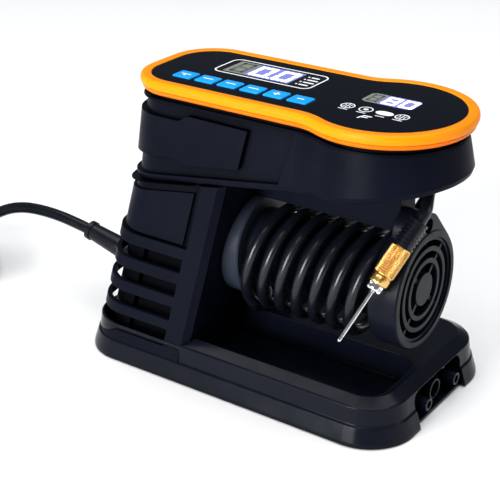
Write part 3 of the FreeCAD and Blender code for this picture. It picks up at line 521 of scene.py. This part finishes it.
def make_displays(m):
    """Two glass windows with lit cells; the last value of each call picks its material from kinds."""
    kinds = [m["display_glass"], m["cell_violet"], m["cell_olive"], m["digit_white"], m["digit_dim"],
             m["ink_white_glow"]]

    bm = bmesh.new()
    add_prism(bm, rounded(-52.4, 13.4, -0.3, 24.5, 3.9), 181.0, GLASS_TOP)
    add_prism(bm, rounded(-48.6, -33.6, 1.6, 23.6, 0.3, 2), *CELL_Z, OLIVE)
    add_prism(bm, rounded(-33.4, -1.0, 1.6, 23.6, 0.3, 2), *CELL_Z, VIOLET)
    add_digit(bm, "8", -45.6, 3.4, 10.4, 18.4, 2.4, *DIGIT_Z, DIM)
    add_digit(bm, "0", -31.6, 3.4, 12.6, 18.4, 3.1, *DIGIT_Z, BRIGHT)
    add_digit(bm, "0", -15.2, 3.4, 12.6, 18.4, 3.1, *DIGIT_Z, BRIGHT)
    add_prism(bm, rounded(-18.3, -15.9, 3.0, 5.4, 0.8, 3), *DIGIT_Z, BRIGHT)
    for row, length in enumerate((5.6, 7.4, 7.4, 6.2)):
        y = 19.6 - 4.9 * row
        add_prism(bm, rounded(2.6, 4.0, y - 0.7, y + 0.7, 0.5, 3), *LABEL_Z, INK)
        add_prism(bm, rounded(5.0, 5.0 + length, y - 0.8, y + 0.8, 0.5, 3), *LABEL_Z, INK)
    main_window = new_object("display_main", finish_mesh(bm, "display_main"), kinds)
    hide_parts("lcd_main")

    bm = bmesh.new()
    add_prism(bm, rounded(49.9, 82.9, -0.1, 16.7, 3.9), 181.0, GLASS_TOP)
    add_prism(bm, rounded(49.9, 60.4, 0.0, 16.6, 0.8, 2), *CELL_Z, OLIVE)
    add_prism(bm, rounded(60.5, 82.9, 0.0, 16.6, 0.8, 2), *CELL_Z, VIOLET)
    add_digit(bm, "8", 52.0, 2.0, 7.2, 12.6, 1.7, *DIGIT_Z, DIM)
    add_digit(bm, "8", 62.0, 1.6, 9.2, 13.4, 2.3, *DIGIT_Z, BRIGHT)
    add_digit(bm, "0", 73.0, 1.6, 9.2, 13.4, 2.3, *DIGIT_Z, BRIGHT)
    small_window = new_object("display_small", finish_mesh(bm, "display_small"), kinds)
    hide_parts("lcd_small")


def circle(x, y, r, count=40):
    return sweep_arc((x, y), r, 0, 360, count)


MARK_Z = (PANEL_Z - 0.02, PANEL_Z + 0.06)
BALL_Y, BALL_R, SEAM_R = -12.6, 4.3, 4.7


def add_ball(bm, kind, x):
    """Small printed ball with a bar under it: crossed by seams, with a patch, or a filled oval."""
    wide, high = (5.6, 3.2) if kind == "oval" else (BALL_R, BALL_R)
    outline = [(x + (px - x) * wide / BALL_R, BALL_Y + (py - BALL_Y) * high / BALL_R)
               for px, py in circle(x, BALL_Y, BALL_R)]
    if kind == "oval":
        add_prism(bm, outline, *MARK_Z)
    else:
        inner = [(x + (px - x) * 0.84, BALL_Y + (py - BALL_Y) * 0.84) for px, py in outline]
        add_band(bm, outline, inner, *MARK_Z)
    if kind == "patch":
        add_prism(bm, circle(x, BALL_Y, 1.7, 5), *MARK_Z)
    if kind == "seams":
        add_prism(bm, rounded(x - 0.3, x + 0.3, BALL_Y - high + 0.5, BALL_Y + high - 0.5, 0.1, 1), *MARK_Z)
        for side in (-1, 1):
            bow = [math.radians((180 if side > 0 else 0) - 32 + 8 * k) for k in range(9)]
            cx = x + side * 6.0
            outside = [(cx + SEAM_R * math.cos(a), BALL_Y + SEAM_R * math.sin(a)) for a in bow]
            inside = [(cx + 4.2 * math.cos(a), BALL_Y + 4.2 * math.sin(a)) for a in bow[::-1]]
            add_prism(bm, outside + inside, *MARK_Z)
    add_prism(bm, rounded(x - 3.0, x + 3.0, BALL_Y - 6.4, BALL_Y - 5.7, 0.2, 1), *MARK_Z)


def make_panel_marks(m):
    bm = bmesh.new()
    add_band(bm, rounded(-54.4, 15.4, -2.2, 26.4, 5.6), rounded(-53.4, 14.4, -1.2, 25.4, 4.6), *MARK_Z)
    for kind, x in (("seams", 49.5), ("patch", 61.3), ("oval", 73.3), ("seams", 84.3)):
        add_ball(bm, kind, x)
    flag = [(63.6, -27.4), (64.6, -27.4), (65.4, -25.2), (69.0, -25.2), (69.4, -24.2),
            (65.8, -24.2), (66.3, -22.8), (70.3, -22.8), (70.7, -21.6), (65.4, -21.6)]
    add_prism(bm, flag, *MARK_Z)
    new_object("panel_marks", finish_mesh(bm, "panel_marks"), m["ink_white_glow"])


# ---------------------------------------------------------------- chuck
NUT_PROFILE = [(37.4, 5.3), (37.5, 5.7), (37.8, 6.0), (41.3, 6.0), (41.9, 5.7), (42.2, 5.2)]
NUT_HALF_FLAT = 5.75


def add_knurled(bm, d0, d1, radius, teeth, depth):
    """Diamond knurl between two distances along the chuck, fading out over its last 0.7 mm at each end."""
    pitch = 2 * math.pi * radius / teeth
    rows, count = int((d1 - d0) / (pitch / 7)), teeth * 6

    def wave(u):
        u = u % 1.0
        return 2 * u if u < 0.5 else 2 - 2 * u

    def bump(d, a):
        fade = min(1.0, (d - d0) / 0.7, (d1 - d) / 0.7)
        u, v = a * teeth / (2 * math.pi), (d - d0) / pitch
        return -depth + depth * max(fade, 0.0) * min(1.0, 1.9 * wave(u + v) * wave(u - v))

    profile = [(d0 + (d1 - d0) * k / rows, radius) for k in range(rows + 1)]
    add_turned(bm, CHUCK_TOP, CHUCK_DIR, profile, count, bump=bump)


def nut_loops():
    """Six-sided nut with rounded corners, turned down at both ends."""
    side, up = across(CHUCK_DIR)
    loops = []
    for d, r in NUT_PROFILE:
        loop = []
        for k in range(48):
            a = 2 * math.pi * k / 48
            within = (a + math.pi / 6) % (math.pi / 3) - math.pi / 6
            rr = min(r, NUT_HALF_FLAT / math.cos(within))
            loop.append(CHUCK_TOP + CHUCK_DIR * d + side * rr * math.cos(a) + up * rr * math.sin(a))
        loops.append(loop)
    return loops


def make_grip(m):
    """Brass part: shoulder, knurl, neck and nut, as (distance along the chuck, radius) pairs in mm."""
    bm = bmesh.new()
    shoulder = [(17.2, 4.6), (17.2, 5.6), (17.5, 6.0), (18.4, 6.0)]
    neck = [(36.0, 5.6), (36.2, 5.9), (36.8, 5.9), (37.1, 5.5), (37.6, 5.5)]
    add_turned(bm, CHUCK_TOP, CHUCK_DIR, shoulder, 72)
    add_knurled(bm, 17.6, 36.2, 6.3, teeth=32, depth=0.45)
    add_turned(bm, CHUCK_TOP, CHUCK_DIR, neck, 72)
    add_loops(bm, nut_loops())
    body = new_object("chuck_grip", finish_mesh(bm, "chuck_grip", 35), m["brass_gold"], "chuck")
    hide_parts("chuck_body")


def make_collet(m):
    """Chrome collet with four slots at its mouth."""
    profile = [(42.3, 4.6), (42.5, 4.85), (45.6, 4.85), (46.3, 4.5), (46.6, 3.9), (46.6, 2.2), (44.4, 1.5),
               (44.0, 1.15)]

    def notch(d, a):
        within = (a + math.pi / 4) % (math.pi / 2) - math.pi / 4
        return -1.5 * max(0.0, 1 - (within / 0.2) ** 4) if abs(within) < 0.2 and d > 43.4 else 0.0

    fine = []
    for (da, ra), (db, rb) in zip(profile, profile[1:]):
        fine += [(da + (db - da) * k / 3, ra + (rb - ra) * k / 3) for k in range(3)]
    bm = bmesh.new()
    add_turned(bm, CHUCK_TOP, CHUCK_DIR, fine + profile[-1:], 120, bump=notch)
    mesh = finish_mesh(bm, "chuck_collet", 35)
    jaw = new_object("chuck_collet", mesh, m["chrome_steel"], "chuck")
    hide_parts("chuck_jaw")


# ---------------------------------------------------------------- surroundings
FLOOR_HALF, FLOOR_DEPTH = 4000, 20


def make_floor():
    bm = bmesh.new()
    corners = [(-FLOOR_HALF, -FLOOR_HALF), (FLOOR_HALF, -FLOOR_HALF), (FLOOR_HALF, FLOOR_HALF),
               (-FLOOR_HALF, FLOOR_HALF)]
    add_prism(bm, corners, -FLOOR_DEPTH, 0)
    mesh = finish_mesh(bm, "floor")
    floor = bpy.data.objects.new("floor", mesh)
    SCENE.collection.objects.link(floor)
    p = Paint("floor_paint", rough=0.7)
    p.colour(p.mix(p.span(p.noise(3, 2), 0, 1), rgb(0.90, 0.90, 0.90), rgb(0.92, 0.92, 0.92)))
    p.relief(p.noise(60, 2), 0.0001, 0.1)
    mesh.materials.append(p.material)


def make_softbox(name, at, aim, size, watts):
    data = bpy.data.lights.new(name, "AREA")
    data.shape = "RECTANGLE"
    data.size, data.size_y = size
    data.energy = watts
    light = bpy.data.objects.new(name, data)
    SCENE.collection.objects.link(light)
    light.location = at
    light.rotation_mode = "QUATERNION"
    light.rotation_quaternion = (Vector(aim) - Vector(at)).to_track_quat("-Z", "Y")


def make_light():
    """A faint cool surround, a wide softbox overhead, one in front and a weak one at the side."""
    world = bpy.data.worlds.new("studio")
    SCENE.world = world
    world.use_nodes = True
    background = world.node_tree.nodes["Background"]
    background.inputs["Color"].default_value = rgb(0.86, 0.92, 1.0)
    background.inputs["Strength"].default_value = 0.2
    make_softbox("overhead_light", (0.1, 0.1, 2.4), (0, 0, 0.1), (3.0, 3.0), 76)
    make_softbox("front_light", (-0.3, -1.95, 0.5), (0, 0, 0.08), (0.9, 0.9), 55)
    make_softbox("side_light", (1.6, 0.5, 0.7), (0.05, 0, 0.08), (0.6, 1.0), 4)
    SCENE.view_settings.view_transform = "Standard"


# ---------------------------------------------------------------- assembly
def dress_frame(m):
    """Gives every CAD node its slot's material; the drum boss gets a lighter copy of the black plastic as
    painted light, and the vent liners a darker copy as painted shade.
    """
    for part in frame["record"]["subparts"]:
        node = NODES[part["node"]]
        node.data.materials.clear()
        node.data.materials.append(m[part["material_slot"]])
    NODES["drum_boss"].data.materials[0] = m["boss_painted_light"]
    NODES["vent_liners"].data.materials[0] = m["liner_painted_shade"]


def main():
    make_camera()
    m = make_materials()
    dress_frame(m)
    make_cord(m)
    make_trim(m)
    make_keys(m)
    make_displays(m)
    make_panel_marks(m)
    make_grip(m)
    make_collet(m)
    make_floor()
    make_light()


main()
